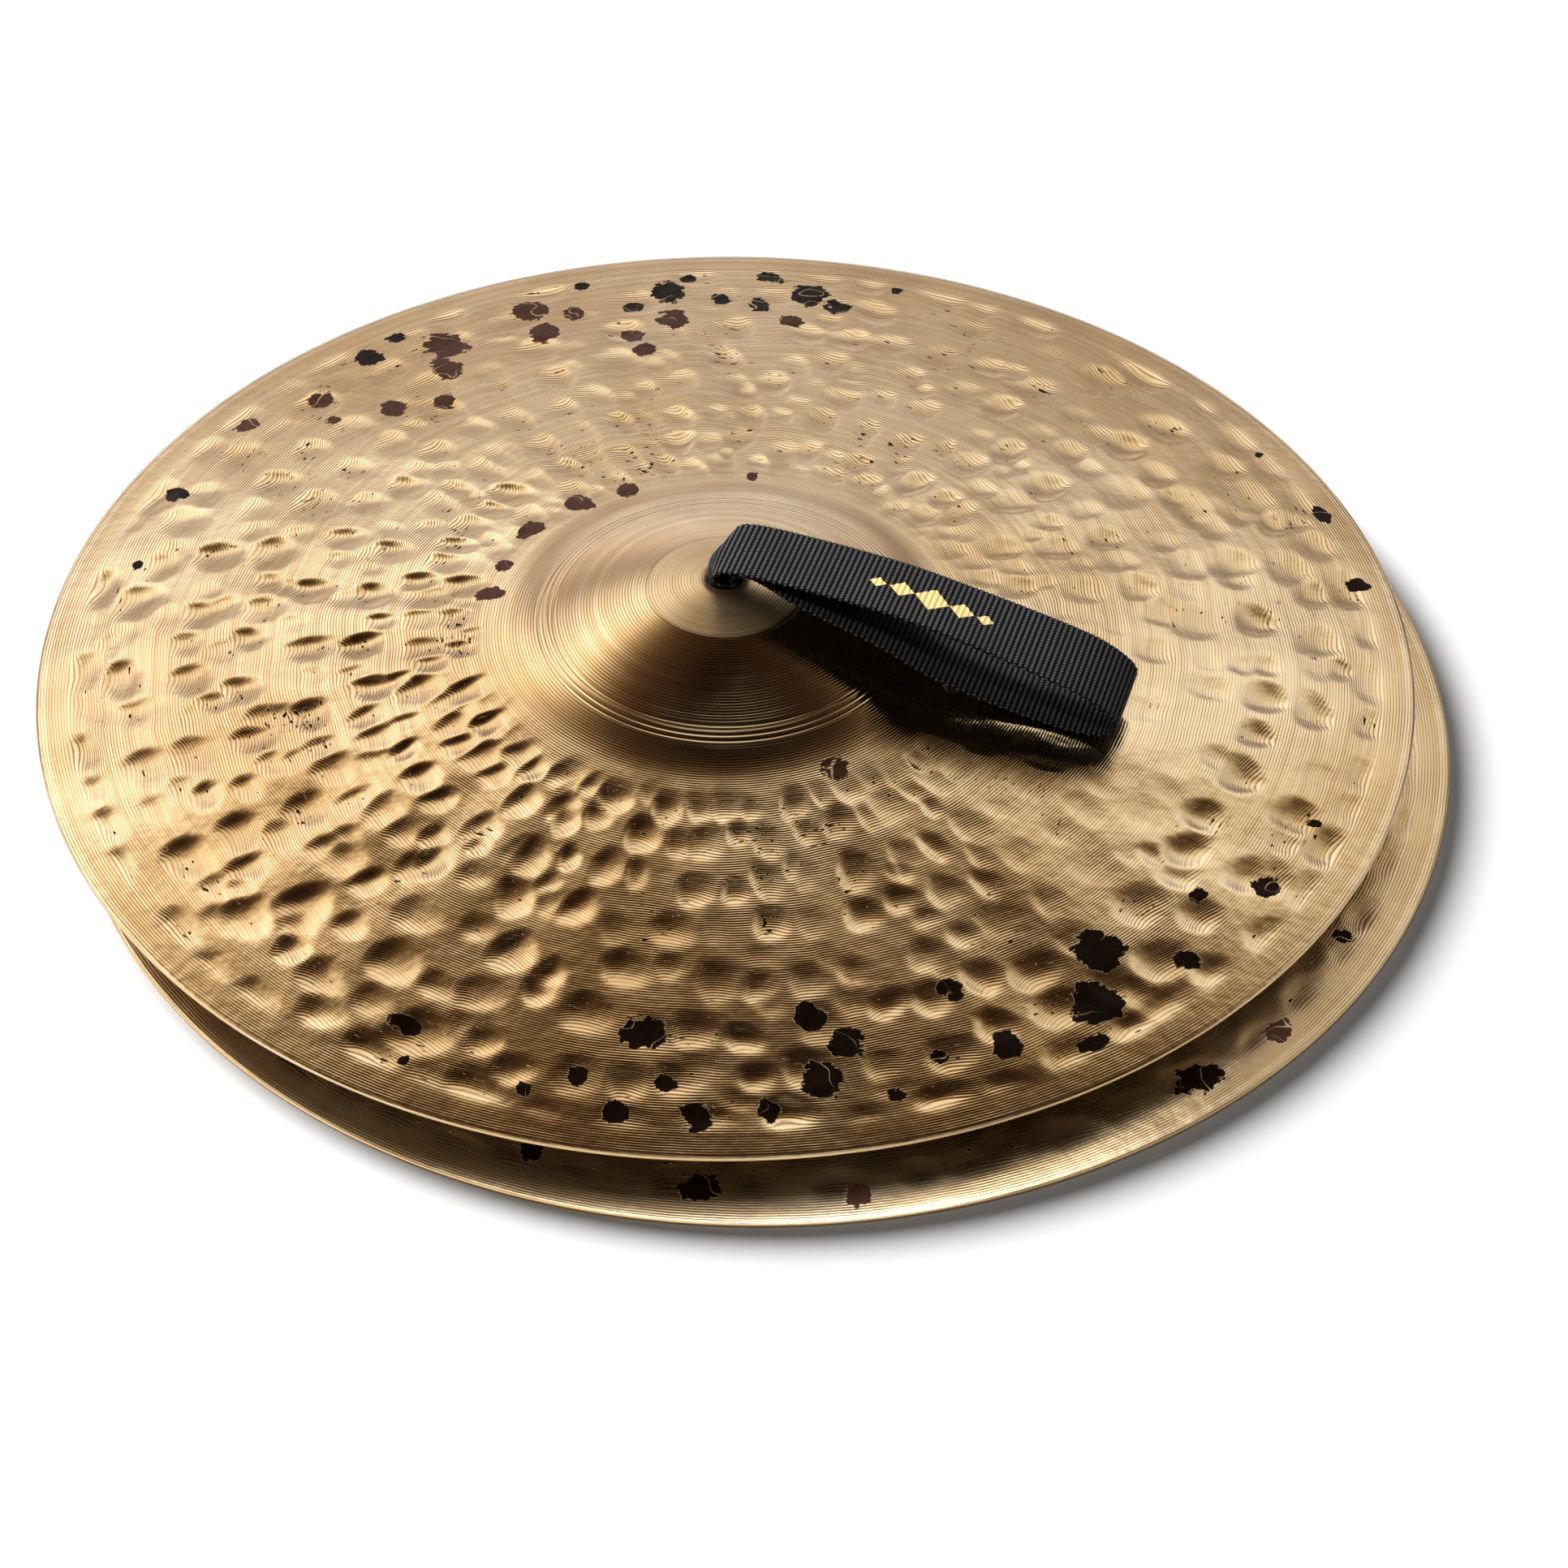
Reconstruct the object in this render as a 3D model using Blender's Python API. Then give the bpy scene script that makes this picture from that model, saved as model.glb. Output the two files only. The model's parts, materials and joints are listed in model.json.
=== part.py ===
"""A pair of 18 inch hand cymbals, stacked crown up, each with a webbing hand strap.

Metres, +Z up. The lower cymbal stands on the plane z = 0 on the edge of its rim.
The upper one lies on the lower one's strap and sits a little to the back left of it.
"""

import math

import bmesh
import bpy
from mathutils import Matrix, Vector

MM = 0.001

# Plate: the height of its top face over the plane of its rim, and the slope, at four radii.
RIM_R = 228.6 * MM
HOLE_R = 6.1 * MM
EDGE_T = 1.2 * MM
CROWN = (26.0 * MM, 39.6 * MM, -0.285)  # edge of the nearly flat top of the bell
FOOT = (62.0 * MM, 26.3 * MM, -0.44)  # lowest steep part of the bell's side
BOW = (78.0 * MM, 22.0 * MM, -0.125)  # where the bow starts
RIM = (RIM_R, EDGE_T, -0.155)
HOLE_Z = 43.6 * MM
BELL_T = 1.6 * MM
BOW_T = 1.2 * MM
LAND_W = 3.0 * MM  # flat ring under the rim, which the cymbal stands on
PLATE_SEGMENTS = 56
FINE_STEPS = 4
BOW_STEPS = 6

# How the two cymbals lie.
STACK_Z = 20.0 * MM
UPPER_XY = (-6.0 * MM, 4.3 * MM)
LOWER_XY = (6.0 * MM, -4.3 * MM)

# Webbing, and the loops that it makes. A loop runs along its own +u, away from the hole.
WEB_W = 25.4 * MM
WEB_T = 1.6 * MM
GAP = 0.3 * MM
UPPER_HEADING = math.radians(-17.0)
LOWER_HEADING = math.radians(144.0)
UPPER_HINGE = (4.0 * MM, 52.6 * MM)
UPPER_KNUCKLE_R = 3.4 * MM
UPPER_REACH = 137.0 * MM
CREST = (16.0 * MM, 56.2 * MM, 0.02)  # (u, height, slope) of the upper run near the hole
SHOULDER = (108.0 * MM, 42.4 * MM, -0.29)  # where the upper run starts to turn down
SHOULDER_END_SLOPE = -0.9
END_R = 8.9 * MM  # round end of the loop
END_Z = 26.6 * MM
LOW_START = (20.0 * MM, 51.4 * MM, -0.42)  # the lower run, near the hole
REST_U = 112.0 * MM  # where the lower run comes down to the bow
REST_SLOPE = -0.16
LOWER_HINGE_U = 1.2 * MM
LOWER_START = 2.0 * MM
LOWER_REACH = 142.0 * MM
LOWER_STEPS = 22
LOWER_SLACK = 0.5 * MM  # how far the pressed loop stands off the bell beyond its gap
SLACK_RUN = 8.0 * MM

# Pad, knot and tails, under the bell.
PAD_R = 15.0 * MM
PAD_T = 2.4 * MM
PAD_TOP = 40.5 * MM
KNOT_R = 13.0 * MM
KNOT_H = 10.0 * MM
KNOT_LOBE = 0.06
NECK_RX = 3.6 * MM
NECK_RY = 5.2 * MM
TAIL_W = 18.0 * MM
TAIL_END_R = 37.0 * MM
TAIL_RISE = 1.5 * MM  # over the knot's middle
TAIL_DROP = 4.5 * MM
TAIL_STEPS = 5

BRONZE = ((0.62, 0.40, 0.20), 0.34, 1.0)
WEBBING = ((0.012, 0.012, 0.013), 0.72, 0.0)
LEATHER = ((0.16, 0.075, 0.035), 0.62, 0.0)


def clear_scene():
    for thing in list(bpy.data.objects):
        bpy.data.objects.remove(thing, do_unlink=True)


def new_material(name, finish):
    colour, roughness, metallic = finish
    material = bpy.data.materials.new(name)
    material.use_nodes = True
    shader = material.node_tree.nodes["Principled BSDF"]
    shader.inputs["Base Color"].default_value = (*colour, 1.0)
    shader.inputs["Roughness"].default_value = roughness
    shader.inputs["Metallic"].default_value = metallic
    return material


def add_object(name, mesh, finish, location, heading=0.0, smooth=False):
    thing = bpy.data.objects.new(name, mesh)
    bpy.context.collection.objects.link(thing)
    thing.location = location
    thing.rotation_euler = (0.0, 0.0, heading)
    mesh.materials.append(new_material(name, finish))
    if smooth:
        mesh.shade_smooth()
        mesh.set_sharp_from_angle(angle=math.radians(30.0))
    return thing


def mesh_from(bm, name):
    bmesh.ops.recalc_face_normals(bm, faces=bm.faces)
    mesh = bpy.data.meshes.new(name)
    bm.to_mesh(mesh)
    bm.free()
    return mesh


def hermite(a, b, r):
    """Height at radius r of the smooth curve between stations a and b, each (radius, height, slope)."""
    span = b[0] - a[0]
    t = (r - a[0]) / span
    height = (2 * t**3 - 3 * t**2 + 1) * a[1] + (3 * t**2 - 2 * t**3) * b[1]
    return height + span * ((t**3 - 2 * t**2 + t) * a[2] + (t**3 - t**2) * b[2])


def plate_top(r):
    """Height of the plate's top face over its own rim plane."""
    if r < CROWN[0]:
        return hermite((HOLE_R, HOLE_Z, -0.05), CROWN, r)
    if r < FOOT[0]:
        return hermite(CROWN, FOOT, r)
    if r < BOW[0]:
        return hermite(FOOT, BOW, r)
    return hermite(BOW, RIM, r)


def plate_bottom(r):
    blend = min(max((r - FOOT[0]) / (BOW[0] - FOOT[0]), 0.0), 1.0)
    return plate_top(r) - (BELL_T + (BOW_T - BELL_T) * blend)


def spread(low, high, steps):
    return [low + (high - low) * i / steps for i in range(steps)]


def plate_radii():
    radii = spread(HOLE_R, CROWN[0], FINE_STEPS)
    radii += spread(CROWN[0], FOOT[0], FINE_STEPS)
    radii += spread(FOOT[0], BOW[0], FINE_STEPS)
    return radii + spread(BOW[0], RIM_R, BOW_STEPS)


def revolve(name, profile, segments):
    """Closed solid of revolution from an outline of (radius, height) points."""
    bm = bmesh.new()
    rings = []
    for i in range(segments):
        angle = 2 * math.pi * i / segments
        c, s = math.cos(angle), math.sin(angle)
        rings.append([bm.verts.new((r * c, r * s, z)) for r, z in profile])
    count = len(profile)
    for i, ring in enumerate(rings):
        following = rings[(i + 1) % segments]
        for j in range(count):
            k = (j + 1) % count
            bm.faces.new((ring[j], following[j], following[k], ring[k]))
    return mesh_from(bm, name)


def make_plate(side, place):
    radii = plate_radii()
    outline = [(r, plate_top(r)) for r in radii]
    outline.append((RIM_R, EDGE_T))
    outline.append((RIM_R, 0.0))
    outline.append((RIM_R - LAND_W, 0.0))
    outline += [(r, plate_bottom(r)) for r in reversed(radii)]
    mesh = revolve(f"{side}_plate", outline, PLATE_SEGMENTS)
    return add_object(f"{side}_plate", mesh, BRONZE, place, smooth=True)


def make_pad(side, place):
    low, high, chamfer = PAD_TOP - PAD_T, PAD_TOP, 0.5 * MM
    inner = HOLE_R + GAP
    outline = [
        (inner, high),
        (PAD_R - chamfer, high),
        (PAD_R, high - chamfer),
        (PAD_R, low + chamfer),
        (PAD_R - chamfer, low),
        (inner, low),
    ]
    mesh = revolve(f"{side}_pad", outline, 32)
    return add_object(f"{side}_pad", mesh, LEATHER, place, smooth=True)


def knot_top():
    return PAD_TOP - PAD_T - GAP


def make_knot(side, place, heading):
    """A flattened bun of webbing with four shallow lobes, where its strands cross."""
    bm = bmesh.new()
    bmesh.ops.create_uvsphere(bm, u_segments=24, v_segments=12, radius=1.0)
    for vert in bm.verts:
        x, y, z = vert.co
        angle = math.atan2(y, x)
        lobe = 1.0 + KNOT_LOBE * math.cos(4 * angle) * (1.0 - z * z)
        reach = KNOT_R * lobe / (1.0 + KNOT_LOBE)
        flat = math.copysign(abs(z) ** 0.8, z)
        vert.co = (x * reach, y * reach, flat * KNOT_H / 2)
    bmesh.ops.translate(bm, verts=bm.verts, vec=(0, 0, knot_top() - KNOT_H / 2))
    mesh = mesh_from(bm, f"{side}_knot")
    return add_object(f"{side}_knot", mesh, WEBBING, place, heading, smooth=True)


def make_neck(side, place, heading, top):
    """The webbing gathered into an oval bundle where it goes through the hole."""
    bm = bmesh.new()
    bmesh.ops.create_cone(bm, cap_ends=True, segments=24, radius1=1.0, radius2=1.0, depth=1.0)
    low = knot_top() + GAP
    bmesh.ops.scale(bm, verts=bm.verts, vec=(NECK_RX, NECK_RY, top - low))
    bmesh.ops.translate(bm, verts=bm.verts, vec=(0, 0, (top + low) / 2))
    mesh = mesh_from(bm, f"{side}_neck")
    return add_object(f"{side}_neck", mesh, WEBBING, place, heading, smooth=True)


def band(name, path, closed, width, hinge):
    """A band of webbing along a path of (u, z) points, with its origin on the hinge."""
    bm = bmesh.new()
    count = len(path)
    sections = []
    for i, (u, z) in enumerate(path):
        before = path[i - 1] if closed or i else path[0]
        after = path[(i + 1) % count] if closed or i < count - 1 else path[-1]
        along = Vector((after[0] - before[0], after[1] - before[1])).normalized()
        side = Vector((-along.y, along.x)) * (WEB_T / 2)
        corners = []
        for sign, across in ((1, -1), (1, 1), (-1, 1), (-1, -1)):
            corner = (u + sign * side.x - hinge[0], across * width / 2, z + sign * side.y - hinge[1])
            corners.append(bm.verts.new(corner))
        sections.append(corners)
    for i in range(count if closed else count - 1):
        here, there = sections[i], sections[(i + 1) % count]
        for j in range(4):
            k = (j + 1) % 4
            bm.faces.new((here[j], there[j], there[k], here[k]))
    if not closed:
        bm.faces.new(sections[0])
        bm.faces.new(sections[-1])
    return mesh_from(bm, name)


def arc(centre, radius, start, end, steps):
    """Points on an arc in the (u, z) plane, from one angle in degrees to the other."""
    points = []
    for i in range(steps + 1):
        angle = math.radians(start + (end - start) * i / steps)
        points.append((centre[0] + radius * math.cos(angle), centre[1] + radius * math.sin(angle)))
    return points


def curve(a, b, steps):
    """Points of the smooth curve strictly between stations a and b, each (u, height, slope)."""
    inner = [a[0] + (b[0] - a[0]) * i / steps for i in range(1, steps)]
    return [(u, hermite(a, b, u)) for u in inner]


def upper_loop_path():
    """The open loop: an arched upper run, a round end and a lower run that comes to rest on the bow."""
    half = WEB_T / 2
    path = arc(UPPER_HINGE, UPPER_KNUCKLE_R - half, 262, 100, 7)
    path.append(CREST[:2])
    path += curve(CREST, SHOULDER, 10)
    path.append(SHOULDER[:2])
    end_centre = (UPPER_REACH - half - END_R, END_Z)
    end = arc(end_centre, END_R, 42, -98, 9)
    path += curve(SHOULDER, (*end[0], SHOULDER_END_SLOPE), 4)
    path += end
    rest = (REST_U, plate_top(REST_U) + 2 * GAP + half, REST_SLOPE)
    path.append(rest[:2])
    path += reversed(curve(LOW_START, rest, 9))
    path.append(LOW_START[:2])
    return path


def lower_loop_path(hinge):
    """The loop pressed flat: two runs of webbing that follow the bell and the bow."""
    pitch = WEB_T + GAP
    low = []
    for i in range(LOWER_STEPS + 1):
        u = LOWER_START + (LOWER_REACH - LOWER_START) * i / LOWER_STEPS
        lift = GAP + WEB_T / 2 + LOWER_SLACK * min(1.0, u / SLACK_RUN)
        low.append((u, plate_top(max(u, HOLE_R)) + lift))
    high = [(u, z + pitch) for u, z in low]
    slope = math.degrees(math.atan2(high[-1][1] - high[-2][1], high[-1][0] - high[-2][0]))
    end_centre = (LOWER_REACH, (low[-1][1] + high[-1][1]) / 2)
    end = arc(end_centre, pitch / 2, slope + 60, slope - 60, 3)
    base = arc(hinge, pitch / 2, 250, 110, 3)
    return base + high + end + low[::-1]


def make_loop(side, place, heading, path, hinge):
    """The hand loop, with its origin on the cross axis where it flops over."""
    mesh = band(f"{side}_loop", path, True, WEB_W, hinge)
    centre = Matrix.Rotation(heading, 3, "Z") @ Vector((hinge[0], 0.0, hinge[1]))
    return add_object(f"{side}_loop", mesh, WEBBING, Vector(place) + centre, heading)


def make_tail(side, letter, place, heading):
    """A free end of the webbing that leaves the knot sideways and droops."""
    start = KNOT_R + GAP
    top = knot_top() - KNOT_H / 2 + TAIL_RISE
    path = []
    for i in range(TAIL_STEPS + 1):
        t = i / TAIL_STEPS
        path.append((start + (TAIL_END_R - start) * t, top - TAIL_DROP * t * t))
    mesh = band(f"{side}_tail_{letter}", path, False, TAIL_W, (0.0, 0.0))
    return add_object(f"{side}_tail_{letter}", mesh, WEBBING, place, heading)


def make_cymbal(side, place, heading, hinge, path):
    make_plate(side, place)
    make_pad(side, place)
    make_knot(side, place, heading)
    make_neck(side, place, heading, hinge[2])
    make_loop(side, place, heading, path, hinge[:2])
    make_tail(side, "a", place, heading + math.radians(90.0))
    make_tail(side, "b", place, heading - math.radians(90.0))


def main():
    clear_scene()
    upper_neck_top = UPPER_HINGE[1] - UPPER_KNUCKLE_R - GAP
    make_cymbal(
        "upper",
        (*UPPER_XY, STACK_Z),
        UPPER_HEADING,
        (*UPPER_HINGE, upper_neck_top),
        upper_loop_path(),
    )
    lower_neck_top = HOLE_Z - GAP
    hinge = (LOWER_HINGE_U, HOLE_Z + GAP + WEB_T + GAP / 2)
    make_cymbal(
        "lower",
        (*LOWER_XY, 0.0),
        LOWER_HEADING,
        (*hinge, lower_neck_top),
        lower_loop_path(hinge),
    )


main()
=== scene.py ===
"""Looks of a pair of 18 inch hand cymbals, stacked crown up, each with a webbing hand strap."""

import json
import math

import bpy
import numpy as np
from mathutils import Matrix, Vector

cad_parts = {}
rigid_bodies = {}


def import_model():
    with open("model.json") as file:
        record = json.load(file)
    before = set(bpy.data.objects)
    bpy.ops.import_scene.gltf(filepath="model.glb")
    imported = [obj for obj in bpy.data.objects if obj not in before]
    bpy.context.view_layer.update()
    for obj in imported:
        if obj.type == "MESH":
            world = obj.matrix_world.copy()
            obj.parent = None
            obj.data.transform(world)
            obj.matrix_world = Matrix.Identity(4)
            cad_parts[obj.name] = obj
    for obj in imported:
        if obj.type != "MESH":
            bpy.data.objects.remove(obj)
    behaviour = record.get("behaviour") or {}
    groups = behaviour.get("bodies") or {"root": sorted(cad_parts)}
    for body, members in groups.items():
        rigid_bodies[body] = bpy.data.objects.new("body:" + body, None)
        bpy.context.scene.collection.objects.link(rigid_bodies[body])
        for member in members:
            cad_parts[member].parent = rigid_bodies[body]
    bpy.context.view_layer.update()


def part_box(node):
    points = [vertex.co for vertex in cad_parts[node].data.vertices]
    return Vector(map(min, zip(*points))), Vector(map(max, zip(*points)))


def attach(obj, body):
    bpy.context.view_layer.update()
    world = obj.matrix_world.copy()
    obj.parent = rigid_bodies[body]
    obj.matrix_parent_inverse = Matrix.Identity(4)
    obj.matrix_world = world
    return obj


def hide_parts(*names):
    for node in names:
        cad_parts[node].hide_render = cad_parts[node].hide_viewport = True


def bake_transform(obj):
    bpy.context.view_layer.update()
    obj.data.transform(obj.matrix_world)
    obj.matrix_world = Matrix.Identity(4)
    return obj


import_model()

MM = 0.001
TURN = 2 * math.pi

# Plate: (radius, height over the rim plane, slope) at the stations that the CAD plate is drawn through.
RIM_R = 228.6 * MM
HOLE_R = 6.1 * MM
EDGE_T = 1.2 * MM
LAND_W = 3.0 * MM
HOLE = (HOLE_R, 43.6 * MM, -0.05)
CROWN = (26.0 * MM, 39.6 * MM, -0.285)
FOOT = (62.0 * MM, 26.3 * MM, -0.44)
BOW = (78.0 * MM, 22.0 * MM, -0.125)
RIM = (RIM_R, EDGE_T, -0.155)
BELL_T = 1.6 * MM
BOW_T = 1.2 * MM

# Grids of the plate: segments round it, and the spacing of the rings on the hammered bow.
SEGMENTS = 800
TOP_PITCH = 1.5 * MM
UNDER_PITCH = 4.0 * MM

# Hammer dents: the radii of their rows, and how a row is filled.
DENT_ROWS = (215, 198, 178, 158.5, 139, 120.5, 101.5, 87)
DENTS_A_ROW = 30
ROW_DRIFT = math.radians(0.148)  # how far each millimetre inwards turns a row
DENT_STEEP, DENT_GENTLE = 0.68, 1.32  # a dent's two ends along its row, as shares of its half length
QUIET_R = 165  # the hammering is gentler inside this radius on one side
QUIET_SHARE = 0.82
HAMMER_IN = 84 * MM
HAMMER_OUT = 217 * MM
MARK_WIDTH = 0.88  # a dark mark's width along its row, for one as high as it is wide

# Lathe cuts, in millimetres between two of them, and how deep the metal's and the scale's relief is.
RING_MM = 0.98
LOW_BELL_RING_MM = 1.7
CUT_DEPTH = 0.030 * MM
CRUST_DEPTH = 0.12 * MM

# Straps.
WEB_W = 25.4 * MM
WEB_T = 1.6 * MM
RIB = 1.88 * MM  # one rib of the webbing and its valley
RIB_STEPS = 6
BEADED_RIB_STEPS = 4
BEADS = 22  # beads of thread across the webbing
UPPER_HEADING = math.radians(-17.0)
LOWER_HEADING = math.radians(144.0)
PAD_T = 2.4 * MM
PAD_R = 15.0 * MM

# Knot: four flat turns, as (heading in degrees, place across in millimetres, 1 or -1 for over or under).
KNOT_TURNS = ((0, -5.6, 1), (0, 5.6, -1), (90, -5.6, -1), (90, 5.6, 1))
KNOT_HALF_MM = 11.6
KNOT_STEPS = 28
KNOT_BAND_W = 10.6 * MM
KNOT_BAND_T = 1.5 * MM

# Camera.
VIEW_ELEVATION = math.radians(41.6)
CAMERA_AT = (0.0133, -1.8143, 1.5877)
LENS_MM = 165.9
SENSOR_MM = 36.0


# ---------------------------------------------------------------- the plates


def hermite(a, b, r):
    """Height at radius r of the smooth curve from station a to station b."""
    span = b[0] - a[0]
    t = (r - a[0]) / span
    height = (2 * t**3 - 3 * t**2 + 1) * a[1] + (3 * t**2 - 2 * t**3) * b[1]
    return height + span * ((t**3 - 2 * t**2 + t) * a[2] + (t**3 - t**2) * b[2])


def plate_top(r):
    """Height of the undented top face over the rim plane."""
    for a, b in ((HOLE, CROWN), (CROWN, FOOT), (FOOT, BOW)):
        if r < b[0]:
            return hermite(a, b, r)
    return hermite(BOW, RIM, r)


def plate_thickness(r):
    """Thickness at radius r: the bell's, then thinning to the bow's."""
    blend = min(max((r - FOOT[0]) / (BOW[0] - FOOT[0]), 0.0), 1.0)
    return BELL_T + (BOW_T - BELL_T) * blend


def smooth(low, high, x):
    """Smooth step from 0 at low to 1 at high."""
    t = np.clip((x - low) / (high - low), 0.0, 1.0)
    return t * t * (3 - 2 * t)


def rings(pitch):
    """Radii of a face's rings: even in the bell, and at the given spacing over the bow."""
    stretches = ((HOLE_R, CROWN[0], 6), (CROWN[0], FOOT[0], 10), (FOOT[0], BOW[0], 8))
    radii = []
    for low, high, steps in stretches:
        radii += list(np.linspace(low, high, steps, endpoint=False))
    steps = round((RIM_R - LAND_W - BOW[0]) / pitch)
    return np.array(radii + list(np.linspace(BOW[0], RIM_R - LAND_W, steps, endpoint=False)))


def make_dents(rng, deep_at, evenness, quiet_at):
    """Rows of dents as (radius, angle, radial half, half along the row, depth, lean).

    Each place in a row has one heavy blow, one lighter blow after it, and often a third between the rows."""
    dents = []
    step = TURN / DENTS_A_ROW
    start = rng.uniform(0, TURN)
    for row in DENT_ROWS:
        wide = max(0.047 * row, 5.6)
        first = start + (DENT_ROWS[0] - row) * ROW_DRIFT + rng.uniform(-0.2, 0.2) * step
        for i in range(DENTS_A_ROW):
            angle = first + (i + rng.uniform(-0.17, 0.17)) * step
            heavy = evenness + (1 - evenness) * (0.5 + 0.5 * math.cos(angle - deep_at)) ** 1.5
            if row < QUIET_R:
                heavy *= 1 - QUIET_SHARE * (0.5 + 0.5 * math.cos(angle - quiet_at)) ** 8
            blows = [(0.0, 0.0, (7.4, 10.2), (0.95, 1.35), (0.65, 1.3))]
            later, inward = rng.uniform(0.38, 0.62), rng.uniform(-4, 4)
            blows.append((later, inward, (5.5, 8.5), (0.7, 1.1), (0.3, 1.05)))
            if rng.random() < 0.6:
                later, inward = rng.uniform(0.1, 0.9), rng.uniform(6, 12)
                blows.append((later, inward, (5.0, 8.0), (0.6, 1.0), (0.25, 0.85)))
            for later, inward, radial, along, depth in blows:
                place = (row + rng.uniform(-3.0, 3.0) - inward) * MM
                size = (rng.uniform(*radial) * MM, rng.uniform(*along) * wide * MM)
                deep = rng.uniform(*depth) * heavy * MM
                dents.append((place, angle + later * step, *size, deep, rng.uniform(-0.4, 0.4)))
    return dents


def hammered(dents, waves, radii, angles):
    """How far the hammered face lies below the plain one, on the grid of radii and angles."""
    total = np.zeros((len(radii), len(angles)))
    for radius, angle, radial, along, depth, lean in dents:
        rows = np.nonzero(np.abs(radii - radius) < 1.2 * max(along, radial))[0]
        if len(rows) == 0:
            continue
        turn = (angles - angle + math.pi) % TURN - math.pi
        cols = np.nonzero(np.abs(turn) * radius < 1.6 * max(along, radial))[0]
        across = (radii[rows] - radius)[:, None]
        sideways = (turn[cols] * radius)[None, :]
        x = (across * math.cos(lean) + sideways * math.sin(lean)) / radial
        y = (sideways * math.cos(lean) - across * math.sin(lean)) / along
        y = y / np.where(y < 0, DENT_STEEP, DENT_GENTLE)
        out = np.hypot(x, y)
        dish = np.clip(1 - out * out, 0, 1) ** (1.25 + 0.3 * y / np.maximum(out, 1e-6))
        total[np.ix_(rows, cols)] += (depth * dish / MM) ** 4
    total = total**0.25 * MM
    for amount, ripples, rate, phase in waves:
        total += amount * np.sin(ripples * angles[None, :] + rate * radii[:, None] + phase)
    fade = smooth(HAMMER_IN - 8 * MM, HAMMER_IN + 8 * MM, radii)
    fade = fade * (1 - smooth(HAMMER_OUT - 5 * MM, HAMMER_OUT + 3 * MM, radii))
    return total * fade[:, None]


def marks_field(marks, radii, angles):
    """1 at the middle of each mark and 0 at its edge, falling below 0 outside, on the grid."""
    field = np.full((len(radii), len(angles)), -1.0)
    for degrees, radius, size, stretch in marks:
        turn = (angles - math.radians(degrees) + math.pi) % TURN - math.pi
        across = (radii - radius * MM)[:, None] / (size * MM / 2)
        sideways = (turn * radius * MM)[None, :] / (size * MM / 2 * stretch * MARK_WIDTH)
        field = np.maximum(field, 1 - np.sqrt(across**2 + sideways**2))
    return field


def attribute(mesh, name, values):
    """Stores one number for each point, for a material to read."""
    layer = mesh.attributes.new(name, "FLOAT", "POINT")
    layer.data.foreach_set("value", np.asarray(values, np.float32).ravel())


def grid_mesh(name, points, closed_rows=False):
    """Mesh of a grid of points that closes on itself across its columns, and across its rows if asked."""
    rows, cols = points.shape[:2]
    index = np.arange(rows * cols).reshape(rows, cols)
    above = index if closed_rows else index[:-1]
    below = np.roll(index, -1, axis=0) if closed_rows else index[1:]
    quads = np.stack([above, np.roll(above, -1, axis=1), np.roll(below, -1, axis=1), below], axis=-1)
    mesh = bpy.data.meshes.new(name)
    mesh.from_pydata(points.reshape(-1, 3).tolist(), [], quads.reshape(-1, 4).tolist())
    mesh.update()
    return mesh


def add_piece(name, mesh, material, smooth_faces=True):
    """Puts a mesh in the scene, with its material."""
    piece = bpy.data.objects.new(name, mesh)
    bpy.context.scene.collection.objects.link(piece)
    mesh.materials.append(material)
    if smooth_faces:
        mesh.shade_smooth()
    return piece


def make_plate(name, node, body, material, seed, deep_at, evenness, quiet_at, marks):
    """One cymbal: its dented top, its rounded rim, and its underside, as one closed skin."""
    rng = np.random.default_rng(seed)
    dents = make_dents(rng, deep_at, evenness, quiet_at)
    waves = [
        (rng.uniform(0.03, 0.09) * MM, rng.integers(7, 31), rng.uniform(-60, 60), rng.uniform(0, TURN))
        for _ in range(9)
    ]
    angles = np.linspace(0, TURN, SEGMENTS, endpoint=False)
    top_r, under_r = rings(TOP_PITCH), rings(UNDER_PITCH)[::-1]
    sunk_top, sunk_under = (hammered(dents, waves, r, angles) for r in (top_r, under_r))
    round_edge = [(RIM_R - 1.4 * MM, plate_top(RIM_R - 1.4 * MM)), (RIM_R - 0.25 * MM, EDGE_T)]
    round_edge += [(RIM_R, 0.85 * MM), (RIM_R, 0.3 * MM), (RIM_R - 0.3 * MM, 0.0), (RIM_R - LAND_W, 0.0)]
    radii = np.concatenate([top_r, [r for r, _ in round_edge], under_r])
    level = [plate_top(r) for r in top_r] + [z for _, z in round_edge]
    level += [plate_top(r) - plate_thickness(r) for r in under_r]
    flat = np.zeros((len(round_edge), SEGMENTS))
    sunk = np.concatenate([sunk_top, flat, sunk_under])
    z = np.array(level)[:, None] - sunk
    x = radii[:, None] * np.cos(angles)[None, :]
    y = radii[:, None] * np.sin(angles)[None, :]
    mesh = grid_mesh(name, np.stack([x, y, z], axis=-1), closed_rows=True)
    mesh.flip_normals()
    attribute(mesh, "sunk", sunk / MM)
    under = np.zeros(sunk.shape)
    under[len(top_r) + 2:] = 1.0
    attribute(mesh, "under", under)
    black = [m[:4] for m in marks if m[4] == "k"]
    brown = [m[:4] for m in marks if m[4] == "b"]
    attribute(mesh, "black", marks_field(black, radii, angles))
    attribute(mesh, "brown", marks_field(brown, radii, angles))
    piece = add_piece(name, mesh, material)
    low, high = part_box(node)
    piece.location = ((low.x + high.x) / 2, (low.y + high.y) / 2, low.z)
    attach(piece, body)
    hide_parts(node)
    return piece


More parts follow.
